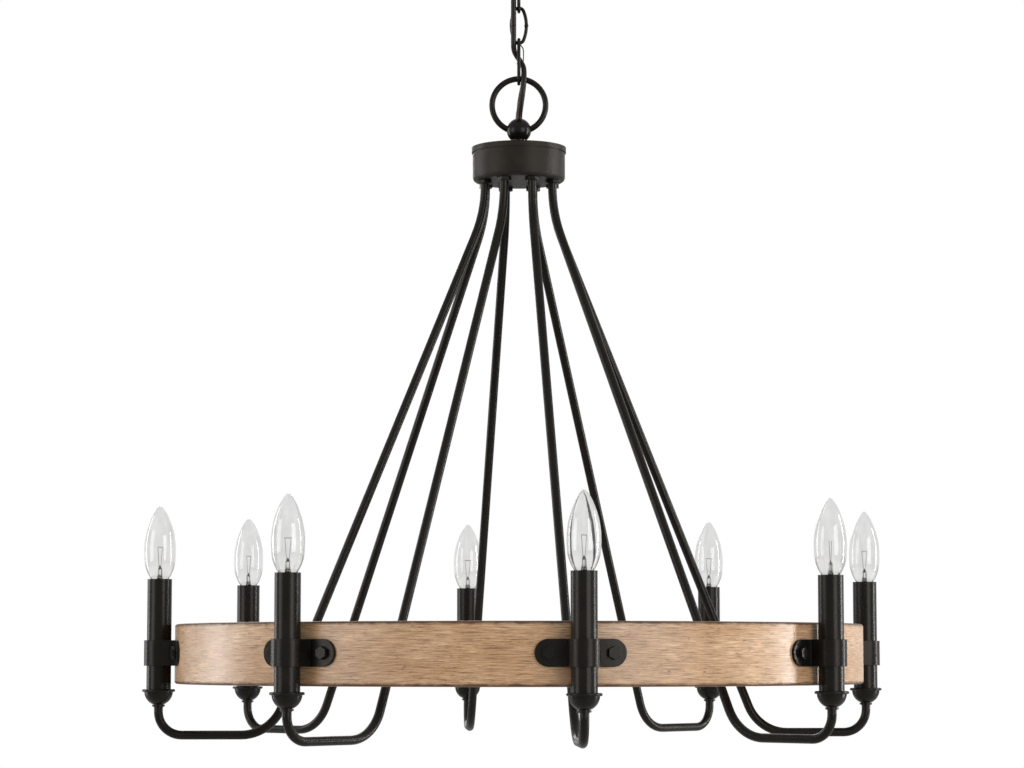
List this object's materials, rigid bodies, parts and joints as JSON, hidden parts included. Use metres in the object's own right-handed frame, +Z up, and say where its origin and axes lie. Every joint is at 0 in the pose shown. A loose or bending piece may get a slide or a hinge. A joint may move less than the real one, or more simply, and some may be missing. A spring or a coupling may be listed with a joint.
{
  "type": "wagon wheel chandelier",
  "caption": "Wheel-shaped chandelier: a flat wooden rim clamped to candle lamps on bent tube arms that run up to a hub, hung by ring, chain and canopy.",
  "frame": {"origin": "middle of the crossbar's top face, on the ceiling, between its two slots", "axes": "+Z up out of the crossbar towards the ceiling; -Y faces the viewer; +X to the viewer's right"},
  "size_m": [0.801, 0.801, 0.9026],
  "materials": {
    "dark_bronze": "satin oil-rubbed bronze paint",
    "hub_bronze": "satin bronze paint, a little greyer",
    "rim_wood": "pale brushed wood with darker worn edges",
    "clear_glass": "clear",
    "lamp_brass": "plain",
    "pipe_brass": "plain",
    "shell_brass": "plain",
    "plated_steel": "zinc plated",
    "green_metal": "green passivated",
    "cord_jacket": "dark brown jacket",
    "bare_copper": "bare stranded copper, dull",
    "lead_jacket": "white jacket",
    "socket_plastic": "moulded phenolic",
    "block_plastic": "moulded"
  },
  "bodies": {
    "ceiling_mount": {"crossbar": "plated_steel", "threaded_nipple": "pipe_brass", "nipple_nuts": "pipe_brass", "ground_screw": "green_metal", "canopy": "dark_bronze", "screw_collar": "dark_bronze", "canopy_loop": "dark_bronze"},
    "upper_link": {"chain_link_upper": "dark_bronze"},
    "middle_link": {"chain_link_middle": "dark_bronze"},
    "lower_link": {"chain_link_lower": "dark_bronze"},
    "fixture": {"supply_cord": "cord_jacket", "earth_wire": "bare_copper", "hanging_ring": "dark_bronze", "ring_ball": "dark_bronze", "hub_lid": "hub_bronze", "hub_can": "hub_bronze", "hub_bridge": "plated_steel", "hub_stem": "pipe_brass", "stem_nut": "pipe_brass", "splice_block": "block_plastic", "arm_nuts": "hub_bronze", "arm_1": "dark_bronze", "arm_2": "dark_bronze", "arm_3": "dark_bronze", "arm_4": "dark_bronze", "arm_5": "dark_bronze", "arm_6": "dark_bronze", "arm_7": "dark_bronze", "arm_8": "dark_bronze", "socket_leads": "lead_jacket", "neck_collars": "dark_bronze", "candle_cups": "dark_bronze", "cup_nuts": "pipe_brass", "socket_brackets": "plated_steel", "lamp_sockets": "socket_plastic", "socket_shells": "shell_brass", "candle_sleeves": "dark_bronze", "rim_half_right": "rim_wood", "rim_half_left": "rim_wood", "sleeve_clamps": "dark_bronze", "clamp_bolts": "dark_bronze", "clamp_washers": "plated_steel", "clamp_nuts": "plated_steel"},
    "bulb_1": {"bulb_glass_1": "clear_glass", "bulb_base_1": "lamp_brass"},
    "bulb_2": {"bulb_glass_2": "clear_glass", "bulb_base_2": "lamp_brass"},
    "bulb_3": {"bulb_glass_3": "clear_glass", "bulb_base_3": "lamp_brass"},
    "bulb_4": {"bulb_glass_4": "clear_glass", "bulb_base_4": "lamp_brass"},
    "bulb_5": {"bulb_glass_5": "clear_glass", "bulb_base_5": "lamp_brass"},
    "bulb_6": {"bulb_glass_6": "clear_glass", "bulb_base_6": "lamp_brass"},
    "bulb_7": {"bulb_glass_7": "clear_glass", "bulb_base_7": "lamp_brass"},
    "bulb_8": {"bulb_glass_8": "clear_glass", "bulb_base_8": "lamp_brass"}
  },
  "joints": [
    {"name": "upper_link_swing", "type": "hinge", "parent": "ceiling_mount", "child": "upper_link", "pos_m": [0, 0, -0.0694], "axis": [1, 0, 0], "range_deg": [-15, 15], "deforming": ["supply_cord", "earth_wire"]},
    {"name": "middle_link_swing", "type": "hinge", "parent": "upper_link", "child": "middle_link", "pos_m": [0, 0, -0.1042], "axis": [0, 1, 0], "range_deg": [-15, 15], "deforming": ["supply_cord", "earth_wire"]},
    {"name": "lower_link_swing", "type": "hinge", "parent": "middle_link", "child": "lower_link", "pos_m": [0, 0, -0.1396], "axis": [1, 0, 0], "range_deg": [-15, 15], "deforming": ["supply_cord", "earth_wire"]},
    {"name": "fixture_swing", "type": "hinge", "parent": "lower_link", "child": "fixture", "pos_m": [0, 0, -0.1851], "axis": [0, 1, 0], "range_deg": [-15, 15], "deforming": ["supply_cord", "earth_wire"]},
    {"name": "bulb_1_unscrew", "type": "slide", "parent": "fixture", "child": "bulb_1", "axis": [0, 0, 1], "range_m": [0, 0.01]},
    {"name": "bulb_2_unscrew", "type": "slide", "parent": "fixture", "child": "bulb_2", "axis": [0, 0, 1], "range_m": [0, 0.01]},
    {"name": "bulb_3_unscrew", "type": "slide", "parent": "fixture", "child": "bulb_3", "axis": [0, 0, 1], "range_m": [0, 0.01]},
    {"name": "bulb_4_unscrew", "type": "slide", "parent": "fixture", "child": "bulb_4", "axis": [0, 0, 1], "range_m": [0, 0.01]},
    {"name": "bulb_5_unscrew", "type": "slide", "parent": "fixture", "child": "bulb_5", "axis": [0, 0, 1], "range_m": [0, 0.01]},
    {"name": "bulb_6_unscrew", "type": "slide", "parent": "fixture", "child": "bulb_6", "axis": [0, 0, 1], "range_m": [0, 0.01]},
    {"name": "bulb_7_unscrew", "type": "slide", "parent": "fixture", "child": "bulb_7", "axis": [0, 0, 1], "range_m": [0, 0.01]},
    {"name": "bulb_8_unscrew", "type": "slide", "parent": "fixture", "child": "bulb_8", "axis": [0, 0, 1], "range_m": [0, 0.01]}
  ]
}
